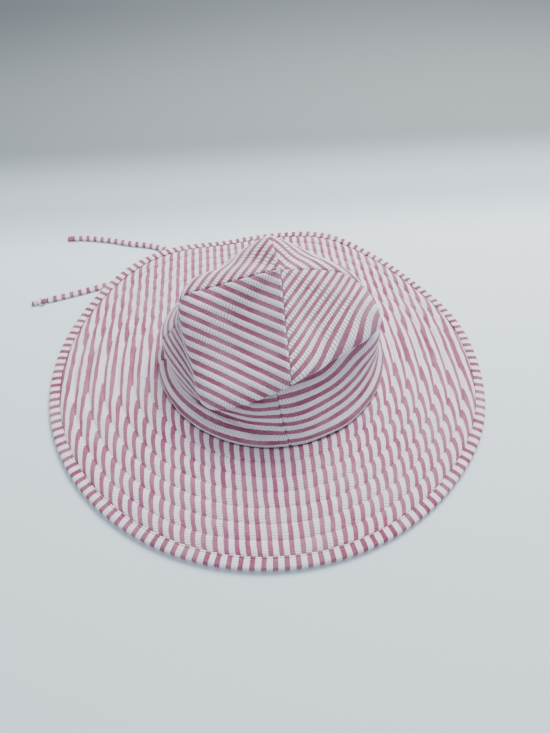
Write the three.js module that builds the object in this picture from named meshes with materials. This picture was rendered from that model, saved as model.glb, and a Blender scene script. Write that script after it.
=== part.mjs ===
// Baby sun hat in striped seersucker, standing on a flat surface by itself.
// The crown is four panels that meet at a point. It has slumped: its top tilts forward and
// hangs as a lip over the front wall. The brim is two quilted cloths with a bound edge, and
// two narrow ties run out from under it and lie on the surface.
// Millimetres, +Z up. The brim's stripes run along Y and the front of the hat faces -Y.
// The origin is on the surface, under the middle of the brim.
import * as THREE from 'three';

// Brim
const BRIM_RADIUS = 149.5;
const BRIM_CLOTH = 2.0;
const BRIM_RISE = 5.7;
const BRIM_CURVE = 1.15;
const QUILT_CHANNELS = 7;
const QUILT_PUFF = 0.9;
const EDGE_STEPS = 84;

// Bound edge
const BINDING_WIDTH = 6.8;
const BINDING_CLOTH = 1.0;

// Crown
const CROWN_RADIUS = 76.5;
const CROWN_HEIGHT = 89;
const CROWN_CLOTH = 1.2;
const CROWN_SHIFT = 3;
const CROWN_TURN = 4;
const SEAM_SEAT = 2;
const SEAM_BEVEL = 0.7;
const TIP_HOLE = 3;
const PANEL_STEPS = 12;

// Ties
const TIE_WIDTH = 5.6;
const TIE_THICKNESS = 2.8;
const KNOT_RADIUS = 4.2;
const KNOT_LENGTH = 8.5;
const KNOT_FLATTEN = 0.62;
const TAIL_LENGTH = 3.2;

// Clearance between pieces that are sewn together
const GAP = 0.3;
// Clearance between the ties and the surface
const FLOOR_GAP = 0.17;

// Where the crown comes to its point, as shares of the crown's radius and height
const APEX = { right: 0.065, back: -0.154, height: 0.978 };

// Waves of the brim's edge. at and width are degrees counter-clockwise from +X, lift is a
// share of the brim's rise, and spread is a share of the brim's radius.
const EDGE_WAVES = [
  { at: 65, width: 13, lift: 0.85, spread: 0.012 },
  { at: 100, width: 13, lift: 0.0, spread: -0.04 },
  { at: 130, width: 20, lift: 0.97, spread: 0.0 },
  { at: 29, width: 14, lift: 0.0, spread: -0.025 },
  { at: -27, width: 14, lift: 0.0, spread: 0.012 },
];

// Sections of the crown, one for each row. turn is in degrees round from the front seam, to
// the right. Each section climbs from the sewn foot over five places: the gutter above the
// foot, the top of the wall, the crease under the lip, the lip, and a place on the top.
// Reaches are shares of the way from the crown's point out to the foot, and heights are
// shares of the crown's height.
const SECTION_COLUMNS = [
  'turn', 'gutterReach', 'gutterHeight', 'wallReach', 'wallHeight',
  'creaseReach', 'creaseHeight', 'lipReach', 'lipHeight', 'topReach', 'topHeight',
];
const SECTIONS = [
  [0, 0.965, 0.125, 0.81, 0.37, 0.69, 0.46, 0.885, 0.57, 0.4, 0.8],
  [30, 0.95, 0.11, 0.7, 0.38, 0.6, 0.45, 0.735, 0.53, 0.4, 0.78],
  [50, 0.95, 0.11, 0.71, 0.4, 0.65, 0.46, 0.81, 0.54, 0.45, 0.775],
  [70, 0.96, 0.11, 0.9, 0.37, 0.85, 0.44, 0.9, 0.495, 0.5, 0.81],
  [90, 0.96, 0.125, 0.96, 0.26, 0.91, 0.36, 0.86, 0.505, 0.6, 0.785],
  [135, 0.96, 0.125, 0.9, 0.29, 0.78, 0.46, 0.64, 0.665, 0.35, 0.855],
  [180, 0.96, 0.125, 0.9, 0.3, 0.75, 0.55, 0.55, 0.8, 0.28, 1.0],
  [225, 0.96, 0.125, 0.9, 0.29, 0.76, 0.46, 0.6, 0.65, 0.35, 0.855],
  [270, 0.9, 0.155, 0.94, 0.29, 0.8, 0.485, 0.715, 0.74, 0.46, 0.835],
  [285, 0.91, 0.155, 0.91, 0.27, 0.79, 0.46, 0.765, 0.63, 0.4, 0.79],
  [300, 0.905, 0.145, 0.89, 0.235, 0.83, 0.36, 0.81, 0.45, 0.4, 0.695],
  [315, 0.85, 0.145, 0.87, 0.18, 0.89, 0.205, 0.925, 0.25, 0.5, 0.585],
  [335, 0.88, 0.125, 0.86, 0.245, 0.79, 0.29, 0.895, 0.34, 0.5, 0.63],
  [350, 0.94, 0.11, 0.835, 0.325, 0.73, 0.38, 0.85, 0.44, 0.45, 0.725],
].map((row) => Object.fromEntries(row.map((value, i) => [SECTION_COLUMNS[i], value])));

// How far up its first stretch the foot band stands, and how the drag of the front seam
// grows from place to place, from the foot to the crown's point
const BAND = { reach: 0.99, height: 0.079 };
const DRAG_SHARES = [0, 0.15, 0.4, 0.9, 1, 0, 0, 0];
// The front seam's drag to the left below the lip, and how far round it spreads, in degrees
const DRAG_TURN = -8;
const DRAG_SPREAD_TURN = 35;
// Stations along a section: whole numbers are its places, from the foot to the point
const STATIONS = [
  0, 1, 1.5, 2, 2.5, 3, 3.33, 3.67, 4, 4.33, 4.67, 5, 5.25, 5.5, 5.75, 6, 6.33, 6.67,
];

// Routes of the ties, from the free end to where they are sewn inside the crown's foot
const RIGHT_TIE = [
  [-162.5, 161.8], [-148.3, 161.1], [-126, 156], [-105.5, 148.8], [-87, 143.5], [-70.4, 133.5],
  [-48, 116], [-20, 94], [12, 69], [40, 42], [60, 20], [70.2, 9.5],
];
const LEFT_TIE = [
  [-167.4, 81.8], [-157, 84.7], [-142.4, 89], [-124.8, 94.6], [-112.4, 98.3], [-97, 98],
  [-82, 88], [-73, 68], [-68, 45], [-66, 24], [-66.6, 8],
];

const CLOTH = { color: 0xd9c3d0, roughness: 0.9, metalness: 0 };

// Heights of the brim that follow from its layers
const EDGE_UNDER = BINDING_CLOTH + GAP;
const SEAM_HEIGHT = EDGE_UNDER + BRIM_RISE + BRIM_CLOTH;
const BRIM_INNER = CROWN_RADIUS - SEAM_SEAT;
const BRIM_OUTER = BRIM_RADIUS - BINDING_CLOTH - GAP;

const radians = THREE.MathUtils.degToRad;

function clothMesh(name, geometry) {
  const mesh = new THREE.Mesh(geometry, new THREE.MeshStandardMaterial(CLOTH));
  mesh.name = name;
  return mesh;
}

// A body from its points and its faces, each face a list of point numbers in threes
function solidFromFaces(points, faces) {
  const geometry = new THREE.BufferGeometry();
  const numbers = points.flatMap((point) => point.toArray());
  geometry.setAttribute('position', new THREE.Float32BufferAttribute(numbers, 3));
  geometry.setIndex(faces.flat());
  geometry.computeVertexNormals();
  return geometry;
}

function quad(a, b, c, d) {
  return [a, b, c, a, c, d];
}

// A ring-shaped body from loops of points, one loop for each step round the hat
function ringSolid(loops) {
  const size = loops[0].length;
  const faces = [];
  for (let i = 0; i < loops.length; i += 1) {
    const next = (i + 1) % loops.length;
    for (let j = 0; j < size; j += 1) {
      const k = (j + 1) % size;
      faces.push(quad(i * size + j, i * size + k, next * size + k, next * size + j));
    }
  }
  return solidFromFaces(loops.flat(), faces);
}

// A sheet with a thickness, from matching grids of its outer and inner points
function sheetSolid(outer, inner) {
  const rows = outer.length;
  const columns = outer[0].length;
  const back = rows * columns;
  const at = (i, j) => i * columns + j;
  const faces = [];
  for (let i = 0; i + 1 < rows; i += 1) {
    for (let j = 0; j + 1 < columns; j += 1) {
      faces.push(quad(at(i, j), at(i + 1, j), at(i + 1, j + 1), at(i, j + 1)));
      faces.push(quad(back + at(i, j), back + at(i, j + 1), back + at(i + 1, j + 1), back + at(i + 1, j)));
    }
  }
  for (let i = 0; i + 1 < rows; i += 1) {
    const last = columns - 1;
    faces.push(quad(at(i, 0), back + at(i, 0), back + at(i + 1, 0), at(i + 1, 0)));
    faces.push(quad(at(i + 1, last), back + at(i + 1, last), back + at(i, last), at(i, last)));
  }
  for (let j = 0; j + 1 < columns; j += 1) {
    const last = rows - 1;
    faces.push(quad(at(0, j + 1), back + at(0, j + 1), back + at(0, j), at(0, j)));
    faces.push(quad(at(last, j), back + at(last, j), back + at(last, j + 1), at(last, j + 1)));
  }
  return solidFromFaces([...outer.flat(), ...inner.flat()], faces);
}

// Brim

// Sum of one column of the edge's waves at an azimuth in degrees
function edgeWave(azimuth, column) {
  return EDGE_WAVES.reduce((sum, wave) => {
    const away = THREE.MathUtils.euclideanModulo(azimuth - wave.at + 180, 360) - 180;
    return sum + wave[column] * Math.exp(-((away / wave.width) ** 2));
  }, 0);
}

// A point on the brim's underside: share is 0 at its inner edge and 1 at its outer edge
function brimUnder(azimuth, share) {
  const angle = radians(azimuth);
  const outer = BRIM_OUTER * (1 + edgeWave(azimuth, 'spread'));
  const x = (CROWN_SHIFT + BRIM_INNER * Math.cos(angle)) * (1 - share) + outer * Math.cos(angle) * share;
  const y = BRIM_INNER * Math.sin(angle) * (1 - share) + outer * Math.sin(angle) * share;
  const climb = BRIM_RISE * Math.max(1 - share, 0) ** BRIM_CURVE;
  const lift = BRIM_RISE * edgeWave(azimuth, 'lift') * share * share;
  return new THREE.Vector3(x, y, EDGE_UNDER + climb + lift);
}

function raised(point, height) {
  return new THREE.Vector3(point.x, point.y, point.z + height);
}

const brimShare = (radius) => (radius - BRIM_INNER) / (BRIM_OUTER - BRIM_INNER);

// The top has a row of stitches at each end of a quilted channel and a puff between them
function brimTopStations() {
  const inner = CROWN_RADIUS;
  const channel = (BRIM_RADIUS - BINDING_WIDTH - inner) / QUILT_CHANNELS;
  const stations = [{ share: 0, puff: 0 }];
  for (let i = 0; i < QUILT_CHANNELS; i += 1) {
    stations.push({ share: brimShare(inner + channel * i), puff: 0 });
    stations.push({ share: brimShare(inner + channel * (i + 0.5)), puff: QUILT_PUFF });
  }
  stations.push({ share: brimShare(BRIM_RADIUS - BINDING_WIDTH), puff: 0 });
  stations.push({ share: 1, puff: 0 });
  return stations;
}

function brimSolid() {
  const top = brimTopStations();
  const under = [1, 0.66, 0.33, 0];
  const loops = [];
  for (let i = 0; i < EDGE_STEPS; i += 1) {
    const azimuth = (360 * i) / EDGE_STEPS;
    loops.push([
      ...top.map(({ share, puff }) => raised(brimUnder(azimuth, share), BRIM_CLOTH + puff)),
      ...under.map((share) => brimUnder(azimuth, share)),
    ]);
  }
  return ringSolid(loops);
}

// The binding is one strip folded over the brim's edge, flat underneath where it rests
function bindingSolid() {
  const slotEnd = BINDING_CLOTH + GAP;
  const round = (2 * slotEnd + BRIM_CLOTH) / 3;
  const loops = [];
  for (let i = 0; i < EDGE_STEPS; i += 1) {
    const azimuth = (360 * i) / EDGE_STEPS;
    const place = (inward) => brimUnder(azimuth, brimShare(BRIM_RADIUS - inward));
    const below = (inward, drop) => raised(place(inward), -drop);
    const above = (inward, rise) => raised(place(inward), BRIM_CLOTH + rise);
    const floor = (inward) => {
      const point = place(inward);
      point.z = BRIM_RISE * edgeWave(azimuth, 'lift') * brimShare(BRIM_RADIUS - inward) ** 2;
      return point;
    };
    loops.push([
      above(BINDING_WIDTH, slotEnd),
      above(round, slotEnd),
      above(round * 0.3, slotEnd - round * 0.35),
      above(0, -BRIM_CLOTH / 2),
      raised(floor(round * 0.3), round * 0.35),
      floor(round),
      floor(BINDING_WIDTH),
      below(BINDING_WIDTH, GAP),
      below(slotEnd, GAP),
      above(slotEnd, GAP),
      above(BINDING_WIDTH, GAP),
    ]);
  }
  return ringSolid(loops);
}

// Crown

// Smooth value through places on a line, by their positions and slopes
function hermite(a, b, slopeA, slopeB, length, t) {
  const rise = t * t * (3 - 2 * t);
  const start = t * (1 - t) * (1 - t) * length;
  const end = t * t * (t - 1) * length;
  return a * (1 - rise) + b * rise + slopeA * start + slopeB * end;
}

// Slope at the middle of three places
function middleSlope(before, here, after, lengthBefore, lengthAfter) {
  const first = (here - before) / lengthBefore;
  const second = (after - here) / lengthAfter;
  return (first * lengthAfter + second * lengthBefore) / (lengthBefore + lengthAfter);
}

// One column of the sections at any turn, smooth all the way round
function sectionValue(turn, column) {
  const count = SECTIONS.length;
  const angle = THREE.MathUtils.euclideanModulo(turn, 360);
  let i = SECTIONS.findIndex((row) => row.turn > angle) - 1;
  if (i < 0) {
    i = count - 1;
  }
  const row = (k) => SECTIONS[(i + k + count) % count];
  const step = (k) => THREE.MathUtils.euclideanModulo(row(k + 1).turn - row(k).turn, 360);
  const value = (k) => row(k)[column];
  const slopeA = middleSlope(value(-1), value(0), value(1), step(-1), step(0));
  const slopeB = middleSlope(value(0), value(1), value(2), step(0), step(1));
  return hermite(value(0), value(1), slopeA, slopeB, step(0), (angle - row(0).turn) / step(0));
}

// The places of the section at a turn: distance out from the crown's point, and height
function sectionPlaces(turn, span) {
  const place = (name) => ({
    out: span * sectionValue(turn, `${name}Reach`),
    up: CROWN_HEIGHT * sectionValue(turn, `${name}Height`),
  });
  return [
    { out: span, up: GAP },
    { out: span * BAND.reach, up: CROWN_HEIGHT * BAND.height },
    ...['gutter', 'wall', 'crease', 'lip', 'top'].map(place),
    { out: 0, up: CROWN_HEIGHT * APEX.height },
  ];
}

const apexX = CROWN_SHIFT + CROWN_RADIUS * APEX.right;
const apexY = CROWN_RADIUS * APEX.back;

// Foot of the crown at a turn from the front seam
function crownFoot(turn) {
  const angle = radians(turn - 90 + CROWN_TURN);
  return new THREE.Vector2(CROWN_SHIFT + CROWN_RADIUS * Math.cos(angle), CROWN_RADIUS * Math.sin(angle));
}

// The front seam is dragged to the left below the lip
function seamDrag(turn, station) {
  const away = THREE.MathUtils.euclideanModulo(turn + 180, 360) - 180;
  const i = Math.min(Math.floor(station), DRAG_SHARES.length - 2);
  const share = THREE.MathUtils.lerp(DRAG_SHARES[i], DRAG_SHARES[i + 1], station - i);
  return DRAG_TURN * share * Math.exp(-((away / DRAG_SPREAD_TURN) ** 2));
}

// A point on the outside of the crown, on the section at a turn
function crownPoint(turn, station) {
  const foot = crownFoot(turn);
  const span = Math.hypot(foot.x - apexX, foot.y - apexY);
  const places = sectionPlaces(turn, span);
  const i = Math.min(Math.floor(station), places.length - 2);
  const t = station - i;
  const chord = (k) => Math.hypot(places[k + 1].out - places[k].out, places[k + 1].up - places[k].up);
  const slope = (k, axis) => {
    if (k === 0 || k === places.length - 1) {
      const j = Math.min(k, places.length - 2);
      return (places[j + 1][axis] - places[j][axis]) / chord(j);
    }
    return middleSlope(places[k - 1][axis], places[k][axis], places[k + 1][axis], chord(k - 1), chord(k));
  };
  const along = (axis) => hermite(
    places[i][axis], places[i + 1][axis], slope(i, axis), slope(i + 1, axis), chord(i), t,
  );
  const dragged = crownFoot(turn + seamDrag(turn, station));
  const share = along('out') / span;
  return new THREE.Vector3(
    apexX + (dragged.x - apexX) * share,
    apexY + (dragged.y - apexY) * share,
    SEAM_HEIGHT + along('up'),
  );
}

// The same point on the inside of the cloth
function crownInside(turn, station) {
  const turnStep = 1.5;
  const stationStep = 0.08;
  const round = crownPoint(turn + turnStep, station).sub(crownPoint(turn - turnStep, station));
  const low = Math.max(station - stationStep, 0);
  const climb = crownPoint(turn, station + stationStep).sub(crownPoint(turn, low));
  return crownPoint(turn, station).addScaledVector(round.cross(climb).normalize(), -CROWN_CLOTH);
}

// Station where a section has come to within the tip's hole of the crown's point
function tipStation(turn) {
  const foot = crownFoot(turn);
  const span = Math.hypot(foot.x - apexX, foot.y - apexY);
  return 7 - TIP_HOLE / (span * sectionValue(turn, 'topReach'));
}

// One panel, from a seam to the next, set in from both by half the gap
function panelSolid(startTurn) {
  const outer = [];
  const inner = [];
  const steps = Array.from({ length: PANEL_STEPS + 1 }, (_, j) => j);
  [tipStation, ...STATIONS.map((station) => () => station).reverse()].forEach((stationAt) => {
    const seam = crownPoint(startTurn, stationAt(startTurn));
    const fromPoint = Math.hypot(seam.x - apexX, seam.y - apexY);
    const inset = THREE.MathUtils.radToDeg(GAP / 2 / fromPoint);
    const bevel = THREE.MathUtils.radToDeg(SEAM_BEVEL / fromPoint);
    const turns = (setIn) => steps.map((j) => startTurn + setIn + ((90 - 2 * setIn) * j) / PANEL_STEPS);
    outer.push(turns(inset).map((turn) => crownPoint(turn, stationAt(turn))));
    inner.push(turns(inset + bevel).map((turn) => crownInside(turn, stationAt(turn))));
  });
  return sheetSolid(outer, inner);
}

// Ties

// The route on the surface. Its last point is raised by a quarter of the width, and the
// sewn end turns up to the crown's foot.
function tieCurve(route, sewnTurn) {
  const lying = TIE_THICKNESS / 2 + FLOOR_GAP;
  const angle = radians(sewnTurn);
  const reach = BRIM_INNER - GAP - TIE_WIDTH / 2;
  const sewn = new THREE.Vector3(
    CROWN_SHIFT + reach * Math.cos(angle), reach * Math.sin(angle), EDGE_UNDER + BRIM_RISE,
  );
  const points = route.map(([x, y]) => new THREE.Vector3(x, y, lying));
  points[points.length - 1].z += TIE_WIDTH / 4;
  return new THREE.CatmullRomCurve3([...points, sewn], false, 'centripetal');
}

function tieSolid(curve) {
  const section = new THREE.Shape();
  section.absellipse(0, 0, TIE_THICKNESS / 2, TIE_WIDTH / 2, 0, 2 * Math.PI, false, 0);
  const steps = Math.round(curve.getLength() / (2 * TIE_WIDTH));
  return new THREE.ExtrudeGeometry(section, { steps, curveSegments: 4, extrudePath: curve });
}

// The knot near the left tie's end, turned about the tie's own line, with the tail beyond it
function knotSolid(route) {
  const tail = TIE_THICKNESS / 2;
  const profile = [
    [0, 0], [tail, 0], [KNOT_RADIUS * 0.8, KNOT_LENGTH * 0.12], [KNOT_RADIUS, KNOT_LENGTH * 0.45],
    [KNOT_RADIUS * 0.82, KNOT_LENGTH * 0.82], [tail, KNOT_LENGTH],
    [tail, KNOT_LENGTH + TAIL_LENGTH], [0, KNOT_LENGTH + TAIL_LENGTH],
  ];
  const geometry = new THREE.LatheGeometry(profile.map(([x, y]) => new THREE.Vector2(x, y)), 12);
  const [end, next] = route;
  const back = Math.atan2(end[1] - next[1], end[0] - next[0]);
  geometry.rotateZ(-Math.PI / 2);
  geometry.scale(1, 1, KNOT_FLATTEN);
  geometry.rotateZ(back);
  const height = KNOT_RADIUS * KNOT_FLATTEN + FLOOR_GAP;
  geometry.translate(end[0] + GAP * Math.cos(back), end[1] + GAP * Math.sin(back), height);
  return geometry;
}

const group = new THREE.Group();
group.add(
  clothMesh('crown_front_right', panelSolid(0)),
  clothMesh('crown_back_right', panelSolid(90)),
  clothMesh('crown_back_left', panelSolid(180)),
  clothMesh('crown_front_left', panelSolid(270)),
  clothMesh('brim', brimSolid()),
  clothMesh('brim_binding', bindingSolid()),
  clothMesh('tie_right', tieSolid(tieCurve(RIGHT_TIE, 4))),
  clothMesh('tie_left', tieSolid(tieCurve(LEFT_TIE, 180))),
  clothMesh('tie_left_knot', knotSolid(LEFT_TIE)),
);

export default group;
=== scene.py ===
"""Baby sun hat in pink and white seersucker, lying on a pale surface.

Every length below is in millimetres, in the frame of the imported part, until it goes into a mesh.
"""
import math

import bmesh
import bpy
import numpy as np
from mathutils import Matrix, Vector


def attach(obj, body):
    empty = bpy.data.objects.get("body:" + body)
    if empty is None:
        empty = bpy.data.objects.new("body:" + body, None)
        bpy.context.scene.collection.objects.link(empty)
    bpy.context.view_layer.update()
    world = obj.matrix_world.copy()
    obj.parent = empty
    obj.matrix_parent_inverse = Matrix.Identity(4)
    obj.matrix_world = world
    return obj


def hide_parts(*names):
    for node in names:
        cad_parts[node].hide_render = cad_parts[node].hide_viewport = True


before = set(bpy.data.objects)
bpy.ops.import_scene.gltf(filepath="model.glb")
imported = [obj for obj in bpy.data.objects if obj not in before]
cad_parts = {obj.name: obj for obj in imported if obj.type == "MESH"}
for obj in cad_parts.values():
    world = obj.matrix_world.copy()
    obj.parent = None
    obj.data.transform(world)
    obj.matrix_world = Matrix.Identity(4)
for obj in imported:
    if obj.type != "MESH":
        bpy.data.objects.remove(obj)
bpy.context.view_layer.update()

MM = 0.001

# Brim and binding, as in the part's source: the rise is from the edge to the crown, and the curve its power
BRIM_RADIUS = 149.5
BRIM_CLOTH = 2.0
BRIM_RISE = 5.7
BRIM_CURVE = 1.15
BINDING_WIDTH = 6.8
BINDING_CLOTH = 1.0

# Crown, as in the part's source: shifted to the right, turned so that its front seam is a little to the
# right, and with that seam dragged to the left by a turn that fades out on both sides
CROWN_RADIUS = 76.5
CROWN_HEIGHT = 89.0
CROWN_CLOTH = 1.2
CROWN_SHIFT = 3.0
CROWN_TURN = 4.0
DRAG_TURN = -8.0
DRAG_SPREAD_TURN = 35.0
APEX_RIGHT, APEX_BACK, APEX_HEIGHT = 0.065, -0.154, 0.978

# Seams: how far the brim reaches in under the crown's foot, and the gap between solids
SEAM_SEAT = 2.0
GAP = 0.3
EDGE_UNDER = BINDING_CLOTH + GAP
SEAM_HEIGHT = EDGE_UNDER + BRIM_RISE + BRIM_CLOTH
BRIM_INNER = CROWN_RADIUS - SEAM_SEAT
BRIM_OUTER = BRIM_RADIUS - BINDING_CLOTH - GAP

# Waves of the brim's edge: azimuth, width, lift (share of the rise), spread (share of radius)
EDGE_WAVES = np.array([
    (65, 13, 0.85, 0.012),
    (100, 13, 0.0, -0.04),
    (130, 20, 0.97, 0.0),
    (29, 14, 0.0, -0.025),
    (-27, 14, 0.0, 0.012),
])

# Crown sections: turn, then reach and height of gutter, wall, crease, lip and top
SECTIONS = np.array([
    (0, 0.965, 0.125, 0.81, 0.37, 0.69, 0.46, 0.885, 0.57, 0.4, 0.8),
    (30, 0.95, 0.11, 0.7, 0.38, 0.6, 0.45, 0.735, 0.53, 0.4, 0.78),
    (50, 0.95, 0.11, 0.71, 0.4, 0.65, 0.46, 0.81, 0.54, 0.45, 0.775),
    (70, 0.96, 0.11, 0.9, 0.37, 0.85, 0.44, 0.9, 0.495, 0.5, 0.81),
    (90, 0.96, 0.125, 0.96, 0.26, 0.91, 0.36, 0.86, 0.505, 0.6, 0.785),
    (135, 0.96, 0.125, 0.9, 0.29, 0.78, 0.46, 0.64, 0.665, 0.35, 0.855),
    (180, 0.96, 0.125, 0.9, 0.3, 0.75, 0.55, 0.55, 0.8, 0.28, 1.0),
    (225, 0.96, 0.125, 0.9, 0.29, 0.76, 0.46, 0.6, 0.65, 0.35, 0.855),
    (270, 0.9, 0.155, 0.94, 0.29, 0.8, 0.485, 0.715, 0.74, 0.46, 0.835),
    (285, 0.91, 0.155, 0.91, 0.27, 0.79, 0.46, 0.765, 0.63, 0.4, 0.79),
    (300, 0.905, 0.145, 0.89, 0.235, 0.83, 0.36, 0.81, 0.45, 0.4, 0.695),
    (315, 0.85, 0.145, 0.87, 0.18, 0.89, 0.205, 0.925, 0.25, 0.5, 0.585),
    (335, 0.88, 0.125, 0.86, 0.245, 0.79, 0.29, 0.895, 0.34, 0.5, 0.63),
    (350, 0.94, 0.11, 0.835, 0.325, 0.73, 0.38, 0.85, 0.44, 0.45, 0.725),
])
# Top of the smooth band at the foot, in the same shares
BAND_REACH, BAND_HEIGHT = 0.99, 0.079

# Stripes: pitch, where a pink one falls across the brim, and the share that is pink
STRIPE_PITCH = 6.0
STRIPE_PHASE = -9.58
PINK_SHARE = 0.46
# Stripes round the binding, and how far on they start, in pitches
BINDING_STRIPES = 147
BINDING_PHASE = 0.97
TIE_PITCH = 6.5
CRIMP_PITCH = 1.45

# Panels: the turn of the seam that each starts from, pitches from the crown's point to the
# foot, and where its first pink stripe falls in pitches from the point
PANELS = {
    "crown_front_right": (0, 20.35, 0.37),
    "crown_back_right": (90, 20.2, 0.6),
    "crown_back_left": (180, 20.2, 0.6),
    "crown_front_left": (270, 20.7, 0.78),
}

# Ties: routes on the surface from the free end, and the height of their middle line
TIE_WIDTH, TIE_THICKNESS = 5.6, 2.8
TIE_LIE = TIE_THICKNESS / 2 + 0.05
RIGHT_TIE = [
    (-162.5, 161.8), (-148.3, 161.1), (-126, 156), (-105.5, 148.8), (-87, 143.5), (-70.4, 133.5),
    (-48, 116), (-20, 94), (12, 69), (40, 42), (60, 20), (70.2, 9.5),
]
LEFT_TIE = [
    (-167.4, 81.8), (-157, 84.7), (-142.4, 89), (-124.8, 94.6), (-112.4, 98.3), (-97, 98),
    (-82, 88), (-73, 68), (-68, 45), (-66, 24), (-66.6, 8),
]


# Camera

SENSOR_WIDTH, LENS = 36.0, 27.5
CAMERA_PLACE = (-17.92, -262.05, 301.8)
# The way that the camera looks on plan, and its tilt below level and roll in degrees
CAMERA_HEADING = (0.0906, 0.9959)
CAMERA_DOWN, CAMERA_ROLL = 49.25, -0.27
# Nearest and farthest distances that it sees, in metres
CLIP_NEAR, CLIP_FAR = 0.01, 20.0


def add_camera():
    """A camera at the photograph's place: 49 degrees down on the hat from the front."""
    data = bpy.data.cameras.new("camera")
    data.sensor_width = SENSOR_WIDTH
    data.lens = LENS
    data.clip_start, data.clip_end = CLIP_NEAR, CLIP_FAR
    cam = bpy.data.objects.new("camera", data)
    bpy.context.scene.collection.objects.link(cam)
    down = math.radians(CAMERA_DOWN)
    ahead_x, ahead_y = CAMERA_HEADING
    forward = Vector((ahead_x * math.cos(down), ahead_y * math.cos(down), -math.sin(down))).normalized()
    right = forward.cross(Vector((0, 0, 1))).normalized()
    turn = Matrix((right, right.cross(forward), -forward)).transposed().to_4x4()
    roll = Matrix.Rotation(math.radians(CAMERA_ROLL), 4, "Z")
    cam.matrix_world = Matrix.Translation(Vector(CAMERA_PLACE) * MM) @ turn @ roll
    bpy.context.scene.camera = cam


# Helpers for numbers

NOISE_WAVES = 16
NOISE_STRETCH = (0.6, 1.7)
NOISE_TOTAL = 5.0


def soft_noise(x, y, size, seed):
    """Sum of plane waves of random direction and of wavelengths near size, about -1 to 1."""
    rng = np.random.default_rng(seed)
    angles = rng.uniform(0, math.pi, NOISE_WAVES)
    stretches = rng.uniform(*NOISE_STRETCH, NOISE_WAVES)
    phases = rng.uniform(0, 2 * math.pi, NOISE_WAVES)
    total = np.zeros(np.broadcast(x, y).shape)
    for angle, stretch, phase in zip(angles, stretches, phases):
        along = x * math.cos(angle) + y * math.sin(angle)
        total += np.sin(along * 2 * math.pi / (size * stretch) + phase)
    return total / NOISE_TOTAL


def smooth(x, low, high):
    """0 below low, 1 above high, and an S-curve between."""
    t = np.clip((x - low) / (high - low), 0, 1)
    return t * t * (3 - 2 * t)


def hermite(a, b, slope_a, slope_b, length, t):
    """Cubic from a to b over a length, with the slopes given at both ends."""
    return (a * (1 - t * t * (3 - 2 * t)) + b * t * t * (3 - 2 * t)
            + slope_a * length * t * (1 - t) ** 2 + slope_b * length * t * t * (t - 1))


PATH_STEPS = 60


def smooth_path(points, step):
    """Catmull-Rom curve through the points, with knots at the square root of each chord, resampled at
    even steps. Gives the points and their distances along it."""
    p = np.asarray(points, float)
    p = np.concatenate([2 * p[:1] - p[1:2], p, 2 * p[-1:] - p[-2:-1]])
    knots = np.concatenate([[0], np.cumsum(np.sqrt(np.linalg.norm(np.diff(p, axis=0), axis=1)))])
    chord = np.diff(p, axis=0) / np.diff(knots)[:, None]
    w = np.diff(knots)[:, None]
    slope = (chord[:-1] * w[1:] + chord[1:] * w[:-1]) / (w[:-1] + w[1:])
    t = np.linspace(0, 1, PATH_STEPS, endpoint=False)[None, :, None]
    dense = hermite(p[1:-2, None], p[2:-1, None], slope[:-1, None], slope[1:, None], w[1:-1, None], t)
    dense = np.concatenate([dense.reshape(-1, 3), p[-2:-1]])
    run = np.concatenate([[0], np.cumsum(np.linalg.norm(np.diff(dense, axis=0), axis=1))])
    even = np.linspace(0, run[-1], int(round(run[-1] / step)) + 1)
    return np.stack([np.interp(even, run, dense[:, i]) for i in range(3)], -1), even


def grid_normals(points):
    """Unit normals of a grid of points, by the cross product of its two directions."""
    n = np.cross(np.gradient(points, axis=1), np.gradient(points, axis=0))
    return n / np.maximum(np.linalg.norm(n, axis=2, keepdims=True), 1e-9)


# Helpers for meshes

def grid_quads(rows, columns, wrap_rows=False, wrap_columns=False):
    """Quads between the neighbours of a grid of points, joined round where a direction wraps."""
    i = np.arange(rows if wrap_rows else rows - 1)[:, None]
    j = np.arange(columns if wrap_columns else columns - 1)[None, :]
    below, beside = (i + 1) % rows, (j + 1) % columns
    quads = [i * columns + j, i * columns + beside, below * columns + beside, below * columns + j]
    return np.stack(np.broadcast_arrays(*quads), -1).reshape(-1, 4)


def make_piece(name, points, faces, uv, node, around=None):
    """A smooth closed mesh with its cloth coordinates, made to face outwards, in the place of its CAD node.

    around is the cloth coordinate (0 or 1) that runs round a ring, with its length: where a face crosses
    the ring's start, its low corners get the length added."""
    mesh = bpy.data.meshes.new(name)
    mesh.from_pydata((np.asarray(points).reshape(-1, 3) * MM).tolist(), [], faces)
    work = bmesh.new()
    work.from_mesh(mesh)
    bmesh.ops.recalc_face_normals(work, faces=work.faces)
    work.to_mesh(mesh)
    work.free()
    corner = np.empty(len(mesh.loops), np.int64)
    mesh.loops.foreach_get("vertex_index", corner)
    at = np.asarray(uv, float).reshape(-1, 2)[corner]
    if around:
        axis, length = around
        start = np.empty(len(mesh.polygons), np.int64)
        mesh.polygons.foreach_get("loop_start", start)
        size = np.diff(np.append(start, len(corner)))
        high = np.repeat(np.maximum.reduceat(at[:, axis], start), size)
        at[:, axis] += np.where(high - at[:, axis] > length / 2, length, 0)
    layer = mesh.uv_layers.new(name="cloth")
    layer.data.foreach_set("uv", at.ravel())
    mesh.polygons.foreach_set("use_smooth", np.ones(len(mesh.polygons), bool))
    mesh.update()
    piece = bpy.data.objects.new(name, mesh)
    bpy.context.scene.collection.objects.link(piece)
    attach(piece, "root")
    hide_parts(node)
    return piece


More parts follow.
